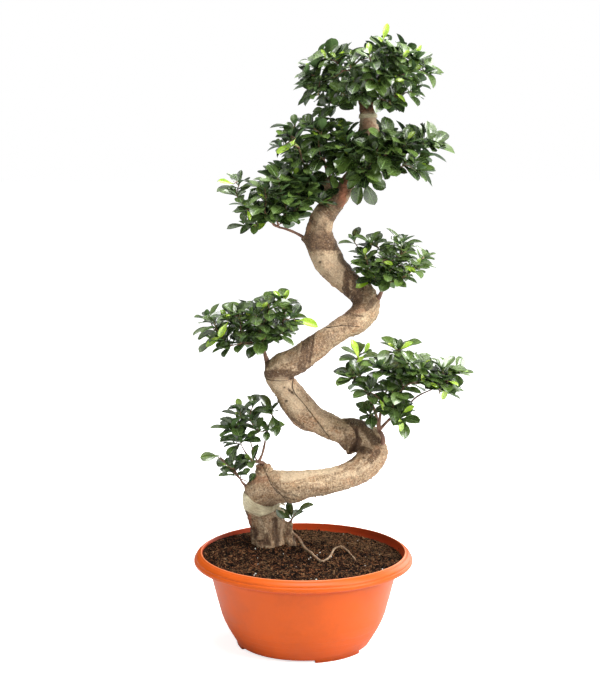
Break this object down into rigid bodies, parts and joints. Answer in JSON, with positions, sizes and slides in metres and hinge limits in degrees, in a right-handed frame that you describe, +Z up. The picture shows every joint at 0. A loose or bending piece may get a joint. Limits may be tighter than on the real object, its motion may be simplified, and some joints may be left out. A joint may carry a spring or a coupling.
{
  "type": "chinese banyan bonsai",
  "caption": "Banyan bonsai with a thick S-shaped trunk and leafy pads grafted along it, growing from dark soil in a round orange plastic bowl pot.",
  "frame": {"origin": "on the surface that the pot stands on, under the middle of the object's bounding box", "axes": "+Z up along the tree's height, -Y towards the viewer of the tree's best side, +X to that viewer's right"},
  "size_m": [0.4406, 0.3492, 0.9666],
  "materials": {
    "pot": "satin moulded plastic, orange terracotta colour",
    "soil": "loose dark peat with fibres and pale specks",
    "bark": "smooth grey-tan bark with pores, scars and brown patches",
    "raffia": "dull pale grafting tape",
    "leaf": "glossy dark green leaves on brown twigs"
  },
  "bodies": {
    "root": {"pot": "pot", "soil": "soil", "trunk": "bark", "raffia_wrap": "raffia", "crown_tie": "raffia", "spray_crown": "leaf", "spray_upper_left": "leaf", "spray_left": "leaf", "spray_upper_right": "leaf", "spray_right": "leaf", "spray_mid_left": "leaf", "spray_mid_right": "leaf", "spray_low_left": "leaf", "spray_low_outer": "leaf", "sprig_base": "leaf"}
  },
  "joints": []
}
